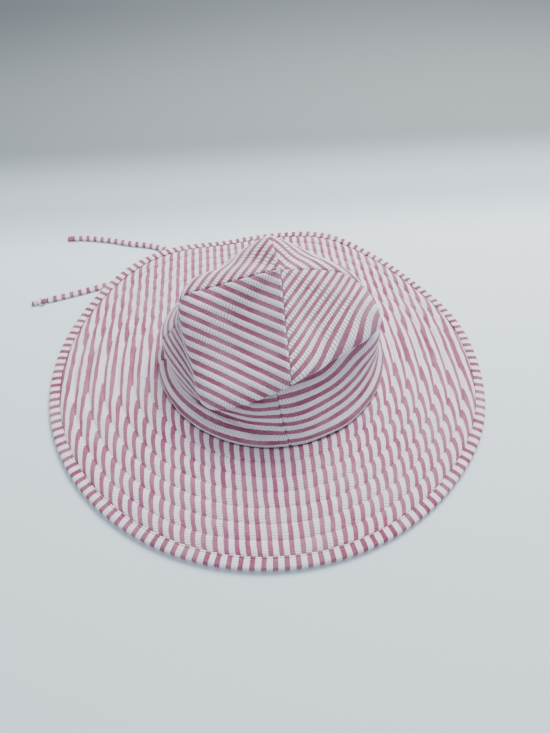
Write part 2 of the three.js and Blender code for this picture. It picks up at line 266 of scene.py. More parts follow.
def closed_sheet(outer, inner, ratio, wrap):
    """Faces of a sheet: a fine outer grid, an inner grid coarser by ratio, and rims of many-sided faces
    between them. wrap joins the columns round."""
    rows, columns = outer.shape[:2]
    low_rows, low_columns = inner.shape[:2]
    faces = grid_quads(rows, columns, wrap_columns=wrap).tolist()
    back = rows * columns
    faces += (grid_quads(low_rows, low_columns, wrap_columns=wrap)[:, ::-1] + back).tolist()
    for fine_row, low_row, turn in ((0, 0, 1), (rows - 1, low_rows - 1, -1)):
        for m in range(low_columns if wrap else low_columns - 1):
            fine = [fine_row * columns + (m * ratio + k) % columns for k in range(ratio + 1)]
            low = [back + low_row * low_columns + (m + 1) % low_columns, back + low_row * low_columns + m]
            faces.append((fine + low)[::turn])
    if not wrap:
        for fine_column, low_column, turn in ((0, 0, -1), (columns - 1, low_columns - 1, 1)):
            for m in range(low_rows - 1):
                fine = [(m * ratio + k) * columns + fine_column for k in range(ratio + 1)]
                low = [back + (m + 1) * low_columns + low_column, back + m * low_columns + low_column]
                faces.append((fine + low)[::turn])
    return faces


# Cloth

def socket(node, name, value):
    """Sets a number or colour on a node's own socket."""
    node.inputs[name].default_value = value


CLOTH_ROUGHNESS, CLOTH_SHEEN, SHEEN_ROUGHNESS, CLOTH_GLOSS = 0.88, 0.15, 0.5, 0.2
# Scale and detail of the noises that shift a stripe's edge, grain the threads and vary the tone
WOBBLE, GRAIN, TONE = (420.0, 2.0), (1500.0, 3.0), (55.0, 4.0)
# How far a stripe's edge wanders and how soft it is, in pitches
EDGE_WANDER, EDGE_SOFTNESS = 0.09, 0.022
# Threads: pitch along a stripe in millimetres, and threads in a pitch across
THREAD_PITCH, THREADS_ACROSS = 0.42, 14
# Relief of the weave, its grain and the white stripes' puff, as shares of the bump's depth in metres
WEAVE_RELIEF, GRAIN_RELIEF, PUFF_RELIEF = 0.042, 0.192, 0.25
BUMP_DEPTH = 0.0004
# Powers that shape the crimps' humps and the painted shade in their valleys, and how dark that painted
# shade makes a valley
HUMP_POWER, VALLEY_POWER, VALLEY_SHADE = 0.9, 1.7, 0.4
# The pink's darkest and palest threads, and the part of the noise that spreads them
PINK_DARK, PINK_PALE = 0.86, 0.16
FLECK_LOW, FLECK_HIGH = 0.36, 0.64


def seersucker(name, pink, white, crimp):
    """Striped puckered cotton. The cloth coordinates give millimetres along a stripe, with the stripe's own
    start, and pitches across the stripes.

    Pink where the distance to a whole pitch is under half the pink share. White stripes carry cross
    crimps of the strength given: humps of |sin| along the stripe, and painted shade greys the valleys."""
    mat = bpy.data.materials.new(name)
    mat.use_nodes = True
    tree = mat.node_tree
    tree.nodes.clear()
    new, link = tree.nodes.new, tree.links.new

    def math_node(kind, a, b=None, c=None, clamp=False):
        """Output of a Math node on up to three sockets or numbers."""
        node = new("ShaderNodeMath")
        node.operation = kind
        node.use_clamp = clamp
        for i, value in enumerate((a, b, c)):
            if value is None:
                continue
            if isinstance(value, (int, float)):
                node.inputs[i].default_value = value
            else:
                link(value, node.inputs[i])
        return node.outputs[0]

    place = new("ShaderNodeTexCoord")

    def noise(scale, detail):
        """Noise over the piece's own Object coordinates."""
        node = new("ShaderNodeTexNoise")
        socket(node, "Scale", scale)
        socket(node, "Detail", detail)
        link(place.outputs["Object"], node.inputs["Vector"])
        return node.outputs[0]

    def mixed(low, high, factor):
        """Colour between two colours or sockets."""
        node = new("ShaderNodeMix")
        node.data_type = "RGBA"
        node.clamp_factor = True
        for i, value in ((0, factor), (6, low), (7, high)):
            if isinstance(value, (tuple, list)):
                node.inputs[i].default_value = (*value, 1.0)
            else:
                link(value, node.inputs[i])
        return node.outputs[2]

    out = new("ShaderNodeOutputMaterial")
    shader = new("ShaderNodeBsdfPrincipled")
    socket(shader, "Roughness", CLOTH_ROUGHNESS)
    socket(shader, "Sheen Weight", CLOTH_SHEEN)
    socket(shader, "Sheen Roughness", SHEEN_ROUGHNESS)
    socket(shader, "Specular IOR Level", CLOTH_GLOSS)
    link(shader.outputs[0], out.inputs[0])

    cloth = new("ShaderNodeUVMap")
    cloth.uv_map = "cloth"
    split = new("ShaderNodeSeparateXYZ")
    link(cloth.outputs[0], split.inputs[0])
    along, across = split.outputs[0], split.outputs[1]

    # Stripes, with edges that wander a little
    drift = math_node("MULTIPLY_ADD", noise(*WOBBLE), EDGE_WANDER, -EDGE_WANDER / 2)
    line = math_node("ADD", across, drift)
    part = math_node("FRACT", math_node("ADD", line, 0.5))
    off = math_node("ABSOLUTE", math_node("SUBTRACT", part, 0.5))
    mask = new("ShaderNodeMapRange")
    mask.interpolation_type = "SMOOTHSTEP"
    socket(mask, "From Min", PINK_SHARE / 2 - EDGE_SOFTNESS)
    socket(mask, "From Max", PINK_SHARE / 2 + EDGE_SOFTNESS)
    link(off, mask.inputs["Value"])
    whiteness = mask.outputs[0]

    # Cross crimps of the white stripes
    run = math_node("MULTIPLY", along, math.pi / CRIMP_PITCH)
    hump = math_node("POWER", math_node("ABSOLUTE", math_node("SINE", run)), HUMP_POWER)
    hump = math_node("MULTIPLY", hump, whiteness)

    # Weave: fine threads both ways
    thread = math_node("SINE", math_node("MULTIPLY", along, 2 * math.pi / THREAD_PITCH))
    cross = math_node("SINE", math_node("MULTIPLY", across, 2 * math.pi * THREADS_ACROSS))
    web = math_node("MULTIPLY", thread, cross)
    grain = noise(*GRAIN)

    height = math_node("MULTIPLY", hump, crimp)
    height = math_node("MULTIPLY_ADD", web, WEAVE_RELIEF, height)
    height = math_node("MULTIPLY_ADD", grain, GRAIN_RELIEF, height)
    height = math_node("MULTIPLY_ADD", whiteness, PUFF_RELIEF, height)
    bump = new("ShaderNodeBump")
    socket(bump, "Strength", 1.0)
    socket(bump, "Distance", BUMP_DEPTH)
    link(height, bump.inputs["Height"])
    link(bump.outputs[0], shader.inputs["Normal"])

    # Colour: pale crosswise threads in the pink, and painted shade greying the valleys of the crimps
    tone = noise(*TONE)
    fleck = math_node("MULTIPLY_ADD", grain, 0.5, math_node("MULTIPLY", tone, 0.5))
    spread = new("ShaderNodeMapRange")
    socket(spread, "From Min", FLECK_LOW)
    socket(spread, "From Max", FLECK_HIGH)
    link(fleck, spread.inputs["Value"])
    dark = [c * PINK_DARK for c in pink]
    pale = [c + (1 - c) * PINK_PALE for c in pink]
    pinks = mixed(dark, pale, spread.outputs[0])
    valley = math_node("SUBTRACT", 1.0, hump, clamp=True)
    # Painted shade: the white stripes are greyed in the crimps' valleys, in patches, more where the crimps
    # are stronger
    valley_shading = math_node("MULTIPLY", math_node("POWER", valley, VALLEY_POWER), 0.35 + 1.3 * crimp)
    patchy_valley_shading = math_node("MULTIPLY", valley_shading, math_node("MULTIPLY_ADD", tone, 1.6, 0.2))
    valley_shaded_whites = mixed(white, [c * VALLEY_SHADE for c in white], patchy_valley_shading)
    link(mixed(pinks, valley_shaded_whites, whiteness), shader.inputs["Base Color"])
    return mat


# Stripes that get a start of their own, and how the crimps are squeezed: by how much and over what length
STRIPE_STARTS = 400
SQUEEZE, SQUEEZE_LENGTH = 0.5, 14


def crimp_run(along, across, seed):
    """Distance along each stripe from a start of its own, stretched and squeezed a little on the way."""
    starts = np.random.default_rng(seed).uniform(0, CRIMP_PITCH, STRIPE_STARTS)
    start = starts[np.floor(across).astype(int) % STRIPE_STARTS]
    return along + start + SQUEEZE * soft_noise(along, across * STRIPE_PITCH, SQUEEZE_LENGTH, seed + 1)


def linear(red, green, blue):
    """Linear colour from a red, green and blue of 0 to 255."""
    return [((c / 255 + 0.055) / 1.055) ** 2.4 if c > 10 else c / 255 / 12.92 for c in (red, green, blue)]


PINK = linear(144, 56, 98)
# Painted light: a paler copy of the same pink, for the brim, which lies facing up into the light
LIT_BRIM_PINK = linear(156, 70, 112)
WHITE = linear(246, 236, 246)


# Brim and its binding

def edge_wave(azimuth, column):
    """Sum of one column of the edge's waves at azimuths in degrees."""
    away = np.mod(azimuth[..., None] - EDGE_WAVES[:, 0] + 180, 360) - 180
    return (EDGE_WAVES[:, column] * np.exp(-(away / EDGE_WAVES[:, 1]) ** 2)).sum(-1)


def brim_under(azimuth, share):
    """The brim's underside: from the inner circle, which is off centre with the crown, out to the
    waving edge. It falls as a power of the way out, and the edge's waves grow as its square."""
    angle = np.radians(azimuth)
    outer = BRIM_OUTER * (1 + edge_wave(azimuth, 3))
    x = (CROWN_SHIFT + BRIM_INNER * np.cos(angle)) * (1 - share) + outer * np.cos(angle) * share
    y = BRIM_INNER * np.sin(angle) * (1 - share) + outer * np.sin(angle) * share
    climb = BRIM_RISE * np.maximum(1 - share, 0) ** BRIM_CURVE
    lift = BRIM_RISE * edge_wave(azimuth, 2) * share * share
    return np.stack(np.broadcast_arrays(x, y, EDGE_UNDER + climb + lift), -1)


def brim_share(radius):
    """How far out a radius is, from 0 at the inner circle to 1 at the edge."""
    return (radius - BRIM_INNER) / (BRIM_OUTER - BRIM_INNER)


# Radii of the stitched rows, and of the plain cloth inside and outside them
SEAM_STRIP = (BRIM_INNER, 75.8)
QUILT_ROWS = np.array([77.0, 86.3, 95.8, 105.4, 114.9, 124.4, 133.9, 142.7])
EDGE_STRIP = (144.5, 146.4, BRIM_OUTER)
QUILT_PUFF = 1.7
CHANNEL_STEPS, BRIM_STEPS, BRIM_RATIO = 13, 930, 6
# How much closer the grid rows are at the stitches
ROW_CROWDING = 0.45
# A puff's slant towards the inner row and how square its arch is
PUFF_SLANT, PUFF_SQUARE = 0.78, 0.6
# Uneven puffs, cloth rippled at the stitches and along the rows
SWELL, ROW_RIPPLE, LONG_RIPPLE = 0.22, 0.16, 0.2
# Sideways bow of the stripes in each channel: hook at the outer stitches, bow back between them
STRIPE_HOOK, STRIPE_BOW = 1.1, 0.75
# The share of that bow which is left at the back
BACK_BOW = 0.35
STRIPE_WANDER = 0.03


def brim_rows():
    """Radii of the brim's grid rows and how far across its channel each is, closer at the stitches."""
    s = np.linspace(0, 1, CHANNEL_STEPS, endpoint=False)
    across = (1 - ROW_CROWDING) * s + ROW_CROWDING * (1 - np.cos(math.pi * s)) / 2
    radius, share = list(SEAM_STRIP), [0, 0]
    for low, high in zip(QUILT_ROWS[:-1], QUILT_ROWS[1:]):
        radius += list(low + (high - low) * across)
        share += list(across)
    radius += [QUILT_ROWS[-1], *EDGE_STRIP]
    share += [0] * (1 + len(EDGE_STRIP))
    return np.array(radius), np.array(share)


def make_brim(material):
    """Top cloth puffed between the stitch rows as a steep-sided arch, rippled along the rows, over a
    plain underside. The stripes bow in each channel, most at the front."""
    radius, share = brim_rows()
    azimuth = np.arange(BRIM_STEPS) * 360 / BRIM_STEPS
    grid_azimuth, grid_radius = np.meshgrid(azimuth, radius)
    c = share[:, None]
    under = brim_under(grid_azimuth, brim_share(grid_radius))
    angle = np.radians(grid_azimuth)
    flat_x, flat_y = grid_radius * np.cos(angle), grid_radius * np.sin(angle)
    skewed = c ** PUFF_SLANT
    arch = (4 * skewed * (1 - skewed)) ** PUFF_SQUARE
    swell = 1 + SWELL * soft_noise(flat_x, flat_y, size=22, seed=5)
    ripple = ROW_RIPPLE * soft_noise(grid_radius * 3.0, angle * grid_radius, size=7, seed=6)
    ripple = ripple * (1 - 0.55 * arch)
    along_row = LONG_RIPPLE * arch * soft_noise(grid_radius * 0.5, angle * 110, size=9, seed=7)
    top = under.copy()
    top[..., 2] += BRIM_CLOTH + QUILT_PUFF * arch * swell + ripple + along_row
    scallop = STRIPE_HOOK * c ** 5 - STRIPE_BOW * np.sin(math.pi * c ** 0.8)
    scallop = scallop * (BACK_BOW + (1 - BACK_BOW) * smooth(-flat_y, -75, -5))
    across = (top[..., 0] + scallop * np.cos(angle) - STRIPE_PHASE) / STRIPE_PITCH
    across += STRIPE_WANDER * soft_noise(flat_x, flat_y, size=16, seed=8)
    uv = np.stack([crimp_run(top[..., 1], across, 70), across], -1)
    low = np.arange(0, len(radius), BRIM_RATIO)
    low[-1] = len(radius) - 1
    inner = under[low][:, ::BRIM_RATIO]
    faces = closed_sheet(top, inner, BRIM_RATIO, True)
    points = np.concatenate([top.reshape(-1, 3), inner.reshape(-1, 3)])
    cloth = np.concatenate([uv.reshape(-1, 2), uv[low][:, ::BRIM_RATIO].reshape(-1, 2)])
    piece = make_piece("brim_quilted", points, faces, cloth, "brim")
    piece.data.materials.append(material)


BINDING_STEPS = 1160
BINDING_BOW_STEPS = 11
# The strip's puckers, and how much its stitched edge wanders in and out
BINDING_PUCKER, BINDING_WANDER = 0.16, 0.18
# Lowest height of any cloth that lies on the surface
BINDING_LIE, TIE_LOWEST = 0.02, 0.03


def make_binding(material):
    """The strip's section, carried round the edge: over the top, round the outside and back along the
    flat underside, then along the inside of the slot that holds the brim."""
    slot = BINDING_CLOTH + GAP
    turn = (2 * slot + BRIM_CLOTH) / 3
    thick = BRIM_CLOTH + 2 * slot
    bow = np.linspace(math.pi / 2, -math.pi / 2, BINDING_BOW_STEPS)
    # Inward distance from the edge, and height as a share of the thickness; the dip is the stitched line
    over = [
        (BINDING_WIDTH, 0.86), (BINDING_WIDTH - 0.1, 0.98), (6.1, 1.02), (5.75, 1.0), (5.55, 0.9),
        (5.35, 1.0), (4.6, 1.03), (3.4, 1.04), (2.3, 1.02),
    ]
    round_edge = [(turn * (1 - math.cos(a)), 0.5 + 0.5 * math.sin(a)) for a in bow]
    beneath = [(3.4, 0.0), (5.2, 0.0), (BINDING_WIDTH, 0.0), (BINDING_WIDTH, 0.21)]
    inside = [(4.0, 0.21), (slot, 0.23), (slot, 0.75), (4.0, 0.78)]
    section = np.array(over + round_edge + beneath + inside)
    azimuth = np.arange(BINDING_STEPS) * 360 / BINDING_STEPS
    grid_azimuth = azimuth[None, :] + np.zeros((len(section), 1))
    inward, rise = section[:, :1], section[:, 1:]
    inward = np.broadcast_to(inward, grid_azimuth.shape)
    angle = np.radians(grid_azimuth)
    run = angle * BRIM_RADIUS
    pucker = soft_noise(run, inward * 0.8, size=5.5, seed=11) * (rise > 0.9)
    edge = soft_noise(run, inward * 0.0, size=9.0, seed=12)
    moved = inward + BINDING_WANDER * edge * (inward > 5)
    points = brim_under(grid_azimuth, brim_share(BRIM_RADIUS - moved))
    points[..., 2] += -slot + thick * rise + BINDING_PUCKER * pucker
    share = brim_share(BRIM_RADIUS - moved)
    lift = BRIM_RISE * edge_wave(grid_azimuth, 2) * share * share
    floor = np.broadcast_to(rise <= 0.0, points.shape[:2])
    points[..., 2] = np.maximum(np.where(floor, lift, points[..., 2]), BINDING_LIE)
    across = angle / (2 * math.pi) * BINDING_STRIPES + BINDING_PHASE
    uv = np.stack([inward, across], -1)
    faces = grid_quads(*points.shape[:2], wrap_rows=True, wrap_columns=True).tolist()
    ring = (1, BINDING_STRIPES)
    piece = make_piece("brim_binding_strip", points, faces, uv, "brim_binding", ring)
    piece.data.materials.append(material)


# Crown

APEX_X = CROWN_SHIFT + CROWN_RADIUS * APEX_RIGHT
APEX_Y = CROWN_RADIUS * APEX_BACK
STATION_STEPS = 40


def crown_foot(turn):
    """Point on the crown's foot at turns from the front seam, in degrees."""
    angle = np.radians(turn - 90 + CROWN_TURN)
    return np.stack([CROWN_SHIFT + CROWN_RADIUS * np.cos(angle), CROWN_RADIUS * np.sin(angle)], -1)


def section_values(turn):
    """All columns of the sections at any turns: a cubic through neighbouring rows, all the way round."""
    at = np.concatenate([SECTIONS[-2:, 0] - 360, SECTIONS[:, 0], SECTIONS[:2, 0] + 360])
    value = np.concatenate([SECTIONS[-2:, 1:], SECTIONS[:, 1:], SECTIONS[:2, 1:]])
    step = np.diff(at)[:, None]
    rise = np.diff(value, axis=0) / step
    slope = np.zeros_like(value)
    slope[1:-1] = (rise[:-1] * step[1:] + rise[1:] * step[:-1]) / (step[:-1] + step[1:])
    turn = np.mod(turn, 360)
    i = np.searchsorted(at, turn, side="right") - 1
    t = ((turn - at[i]) / step[i, 0])[:, None]
    return hermite(value[i], value[i + 1], slope[i], slope[i + 1], step[i], t)


def crown_surface(turn, from_point):
    """Points of the crown at turns and at shares of each section's length from the point, the lengths, the
    distances from the point to the lip, and those from the foot to the gutter.

    Each turn has a smooth section through eight places."""
    table = section_values(turn)
    foot = crown_foot(turn)
    span = np.hypot(foot[:, 0] - APEX_X, foot[:, 1] - APEX_Y)
    places = np.zeros((len(turn), 8, 2))
    places[:, 0] = np.stack([span, np.full_like(span, GAP)], -1)
    places[:, 1] = np.stack([span * BAND_REACH, np.full_like(span, CROWN_HEIGHT * BAND_HEIGHT)], -1)
    places[:, 2:7, 0] = span[:, None] * table[:, 0::2]
    places[:, 2:7, 1] = CROWN_HEIGHT * table[:, 1::2]
    places[:, 7, 1] = CROWN_HEIGHT * APEX_HEIGHT
    chord = np.linalg.norm(np.diff(places, axis=1), axis=2)[..., None]
    rise = np.diff(places, axis=1) / chord
    slope = np.concatenate([
        rise[:, :1],
        (rise[:, :-1] * chord[:, 1:] + rise[:, 1:] * chord[:, :-1]) / (chord[:, :-1] + chord[:, 1:]),
        rise[:, -1:],
    ], 1)
    t = (np.arange(STATION_STEPS) / STATION_STEPS)[None, None, :, None]
    curve = hermite(places[:, :-1, None], places[:, 1:, None], slope[:, :-1, None], slope[:, 1:, None],
                    chord[:, :, None], t).reshape(len(turn), -1, 2)
    curve = np.concatenate([curve, places[:, 7:]], 1)
    steps = np.linalg.norm(np.diff(curve, axis=1), axis=2)
    run = np.concatenate([np.zeros((len(turn), 1)), np.cumsum(steps, 1)], 1)
    total = run[:, -1:]
    to_crease = run[:, 4 * STATION_STEPS][:, None]
    share = np.broadcast_to(1 - from_point[None, :], (len(turn), len(from_point)))
    # One long line of shares, a whole number apart for each turn, finds every place at once
    index = np.arange(len(turn))[:, None]
    known = (run / total * 0.999 + index).ravel()
    wanted = (share * 0.999 + index).ravel()
    out = np.interp(wanted, known, curve[..., 0].ravel()).reshape(share.shape)
    up = np.interp(wanted, known, curve[..., 1].ravel()).reshape(share.shape)
    along = share * total / to_crease
    near = np.exp(-((np.mod(turn + 180, 360) - 180) / DRAG_SPREAD_TURN) ** 2)[:, None]
    drag = DRAG_TURN * near * np.interp(along, [0, 1, 1.12, 1.3], [0, 1, 1, 0])
    dragged = crown_foot(turn[:, None] + drag)
    part = (out / span[:, None])[..., None]
    plan = np.array([APEX_X, APEX_Y]) * (1 - part) + dragged * part
    points = np.concatenate([plan, (SEAM_HEIGHT + up)[..., None]], -1)
    total = total[:, 0]
    return points.transpose(1, 0, 2), total, total - run[:, 5 * STATION_STEPS], run[:, 2 * STATION_STEPS]


PANEL_ROWS, PANEL_COLUMNS, PANEL_RATIO = 157, 337, 6
# A panel's first turn past its seam and its width in degrees, and the first row's share of the section
PANEL_START, PANEL_SPAN, POINT_START = 0.03, 89.94, 0.004
# A place inside the crown, which the cloth faces away from
CROWN_INSIDE = (3, 0, 30)
# Relief of the cloth: crimps and puff of the white stripes, rumples, and cloth sunk into a seam
CRIMP_DEPTH = 0.34
CRIMP_POWER, CRIMP_MEAN = 0.8, 0.62
STRIPE_PUFF = 0.3
CROWN_RUMPLE = 0.2
SEAM_SINK, SEAM_WIDTH = 1.0, 1.2
# Bulge of the band at the foot: height, and its middle and half width as shares of the section
FOOT_BULGE, BULGE_MIDDLE, BULGE_HALF = 1.1, 0.965, 0.035
# Half the angle of a panel's cloth at the point, in degrees
GORE_HALF = 30.0
# Pitch of the stripes on the wall, measured up the section, and the share of the wall that they take
# to blend in below the lip
WALL_PITCH = 6.1
WALL_BLEND = 0.6
# Where a top's stripes meet those of its seam, as a share of the section from the point
MEETING_SHARE = 0.3
# Top of each panel: the direction that its stripes follow, the seam (first or last column) that they are
# counted from, the scale of that count, and where it gives way, as shares of the way to the lip
TOPS = {
    "crown_front_right": ((0.656, 0.547, 0.52), 0, 1.0, 0.6, 1.3),
    "crown_back_right": ((0.735, -0.542, -0.408), 0, 0.8, 0.75, 1.15),
    "crown_back_left": ((0.623, 0.569, 0.537), -1, 1.0, 0.75, 1.15),
    "crown_front_left": ((0.74, -0.66, 0.12), -1, 1.0, 1.0, 1.02),
}
# The way into the crown from its flat tops: back and down
TOP_FACING = (0.0, 0.69, -0.724)
# Crease in the gutter at the front left: turns that it fades in and out over, depth and width
GUTTER_TURNS = (272, 288, 338, 354)
GUTTER_DEPTH, GUTTER_WIDTH = 0.9, 1.2
# Roll of cloth below the crease: height, distance below it and width
ROLL_HEIGHT, ROLL_DROP, ROLL_WIDTH = 1.6, 3.6, 2.6
# Height of the smooth band at the foot
FOOT_BAND = 3.2


def stripe_offset(across):
    """Distance in pitches to the nearest pink stripe's middle line, 0 to 0.5."""
    return np.abs(np.mod(across + 0.5, 1) - 0.5)


def stripe_place(node, points, turn, from_point, total, lip, pitches, along):
    """Millimetres along a stripe and pitches from the crown's point, at each point of a panel.

    Round the point: distance over the pitch along the section, which is the stripe pitch over the cosine of
    the angle to the panel's middle line. On top: the count across parallel planes. Below: the whole count
    less the distance from the foot over the wall's pitch. Each is blended into the next by distance."""
    spread = np.radians(GORE_HALF) * (np.mod(turn, 90) - 45) / 45
    pitch = STRIPE_PITCH / np.cos(spread)
    distance = from_point[:, None] * total
    fan = distance / pitch
    direction, seam, scale, hold, yield_at = TOPS[node]
    across = np.cross(direction, TOP_FACING)
    apex = np.array([APEX_X, APEX_Y, SEAM_HEIGHT + CROWN_HEIGHT * APEX_HEIGHT])
    row = int(MEETING_SHARE * len(from_point))
    planes = (points - apex) @ across * scale * fan[row, seam] / ((points[row, seam] - apex) @ across)
    at_lip = np.array([np.interp(lip[i], distance[:, i], planes[:, i]) for i in range(len(turn))])
    planes = np.where(distance < lip, planes, at_lip + (distance - lip) / pitch)
    flat = node == "crown_front_left"
    held = 1.0 if flat else 1 - smooth(distance / lip, hold, yield_at)
    above = planes * held + fan * (1 - held)
    below = pitches - (total - distance) / WALL_PITCH
    part = smooth(distance, lip, lip + WALL_BLEND * (total - lip))
    run = -(points - apex) @ np.array(direction) if flat else distance * np.sin(spread)
    return run * (1 - part) + along * part, above * (1 - part) + below * part


def make_panel(node, start, pitches, first, material):
    """One panel: the crown's surface, with puffed and crimped white stripes and edges sunk into the
    seams, a bulged band at the foot and, at the front left, a crease above it with a roll below that."""
    turn = start + PANEL_START + PANEL_SPAN * np.linspace(0, 1, PANEL_COLUMNS)
    from_point = np.linspace(POINT_START, 1, PANEL_ROWS)
    points, total, lip, gutter = crown_surface(turn, from_point)
    outward = grid_normals(points)
    middle = (PANEL_ROWS // 2, PANEL_COLUMNS // 2)
    outward = outward * np.sign((outward[middle] * (points[middle] - CROWN_INSIDE)).sum())
    steps = np.linalg.norm(np.diff(points, axis=1), axis=2)
    along = np.concatenate([np.zeros((PANEL_ROWS, 1)), np.cumsum(steps, 1)], 1)
    wide = along[:, -1:]
    edge = np.minimum(along, wide - along)
    lengthwise, across = stripe_place(node, points, turn, from_point, total, lip, pitches, along - wide / 2)
    across = across - first
    offset = stripe_offset(across)
    white = np.clip((offset - PINK_SHARE / 2) / (0.5 - PINK_SHARE / 2), 0, 1)
    bulge = 1 - (1 - white) ** 2
    run = crimp_run(lengthwise, across, 30 + start)
    run = np.where((1 - from_point[:, None]) * total < FOOT_BAND, CRIMP_PITCH / 2, run)
    wave = np.abs(np.sin(math.pi * run / CRIMP_PITCH)) ** CRIMP_POWER - CRIMP_MEAN
    strength = 0.75 + 0.35 * soft_noise(along, across * STRIPE_PITCH, size=8, seed=40 + start)
    seam = np.clip(1 - edge / SEAM_WIDTH, 0, 1) ** 1.5
    rumple = soft_noise(points[..., 0], points[..., 1] + points[..., 2], size=26, seed=50)
    height = STRIPE_PUFF * bulge + CRIMP_DEPTH * bulge * wave * strength * smooth(edge, 0.2, 2.0)
    height = height * smooth(wide, 2, 12) - SEAM_SINK * seam * smooth(wide, 0.5, 4)
    height = height + CROWN_RUMPLE * rumple * smooth(edge, 0, 6)
    band = np.clip(1 - ((from_point - BULGE_MIDDLE) / BULGE_HALF) ** 2, 0, 1)[:, None]
    creased = smooth(turn, *GUTTER_TURNS[:2]) * (1 - smooth(turn, *GUTTER_TURNS[2:]))
    off_crease = (1 - from_point[:, None]) * total - gutter
    height = height + FOOT_BULGE * band
    height = height - GUTTER_DEPTH * creased * np.exp(-((off_crease / GUTTER_WIDTH) ** 2))
    height = height + ROLL_HEIGHT * creased * np.exp(-(((off_crease + ROLL_DROP) / ROLL_WIDTH) ** 2))
    outer = points + outward * height[..., None]
    inner = (points - outward * CROWN_CLOTH)[::PANEL_RATIO, ::PANEL_RATIO]
    inner[0] = (outer[0].mean(0) - (0, 0, CROWN_CLOTH)) + 0.02 * (inner[0] - inner[0].mean(0))
    uv = np.stack([run, across], -1)
    faces = closed_sheet(outer, inner, PANEL_RATIO, False)
    both = np.concatenate([outer.reshape(-1, 3), inner.reshape(-1, 3)])
    cloth = np.concatenate([uv.reshape(-1, 2), uv[::PANEL_RATIO, ::PANEL_RATIO].reshape(-1, 2)])
    piece = make_piece(node + "_cloth", both, faces, cloth, node)
    piece.data.materials.append(material)


# Ties and knot

def tie_route(route, sewn_turn):
    """The whole middle line of a tie, from its free end along the surface and up to where it is sewn."""
    angle = math.radians(sewn_turn)
    reach = BRIM_INNER - GAP - TIE_WIDTH / 2
    sewn = (CROWN_SHIFT + reach * math.cos(angle), reach * math.sin(angle), EDGE_UNDER + BRIM_RISE)
    lying = [(x, y, TIE_LIE) for x, y in route]
    lying[-1] = (*route[-1], TIE_LIE + TIE_WIDTH / 4)
    return lying + [sewn]


TIE_STEP, TIE_SIDES = 0.7, 20
# Length of a tape's rounded end, and its crinkles
TIE_END, TIE_CRINKLE = 1.2, 0.12
# Place (from the middle), half width and depth of the dips along a folded tape, as a share of its height
DIP_PLACE, DIP_WIDTH, DIP_DEPTH = 1.9, 0.4, 0.16


def make_tie(name, node, route, sewn_turn, slant, pink_end, material):
    """A folded tape: a flattened round section carried along the route, with a dip along each side,
    crinkles, and rounded ends. Its stripes cross it at the slant given, after a pink end."""
    centre, run = smooth_path(tie_route(route, sewn_turn), TIE_STEP)
    forward = np.gradient(centre, axis=0)
    forward /= np.linalg.norm(forward, axis=1, keepdims=True)
    side = np.cross(forward, (0, 0, 1))
    side /= np.linalg.norm(side, axis=1, keepdims=True)
    upward = np.cross(side, forward)
    a = np.linspace(0, 2 * math.pi, TIE_SIDES, endpoint=False)[None, :]
    past_end = np.clip(1 - np.minimum(run, run[-1] - run) / TIE_END, 0, 1)
    ends = np.sqrt(np.clip(1 - past_end ** 2, 0.02, 1))[:, None]
    width = TIE_WIDTH / 2 * np.sign(np.cos(a)) * np.abs(np.cos(a)) ** 0.75 * ends
    thick = (TIE_THICKNESS / 2) * np.sign(np.sin(a)) * np.abs(np.sin(a)) ** 0.8 * ends
    around = np.broadcast_to(width, (len(run), a.shape[1]))
    crinkle = TIE_CRINKLE * soft_noise(run[:, None], around * 1.6, size=3.2, seed=60 + len(name))
    dips = DIP_DEPTH * np.exp(-((np.abs(width) - DIP_PLACE) / DIP_WIDTH) ** 2)
    thick = thick * (1 - dips) + crinkle * (np.sin(a) > 0.2)
    wide = width * (1 + 0.06 * crinkle)
    points = centre[:, None] + side[:, None] * wide[..., None] + upward[:, None] * thick[..., None]
    points[..., 2] = np.maximum(points[..., 2], TIE_LOWEST)
    across = np.maximum(run[:, None] + slant * width - pink_end, 0) / TIE_PITCH
    uv = np.stack([np.broadcast_to(width, across.shape), across], -1)
    rows, columns = points.shape[:2]
    faces = grid_quads(rows, columns, wrap_columns=True).tolist()
    faces.append(list(range(columns)))
    faces.append(list(range((rows - 1) * columns, rows * columns))[::-1])
    piece = make_piece(name, points, faces, uv, node)
    piece.data.materials.append(material)


# Knot: steps round its loop, sides of its tape, half width and half thickness
KNOT_STEPS, KNOT_SIDES = 60, 14
KNOT_WIDTH, KNOT_THICKNESS = 1.75, 1.35
# Tail: steps, where it starts past the tie's end, length, half width, middle height, half thickness,
# and where its pink band is
TAIL_STEPS = 14
TAIL_START, TAIL_LENGTH = 7.2, 4.2
TAIL_WIDTH, TAIL_MIDDLE, TAIL_THICKNESS = 2.3, 1.5, 1.15
TAIL_PINK = 11.0


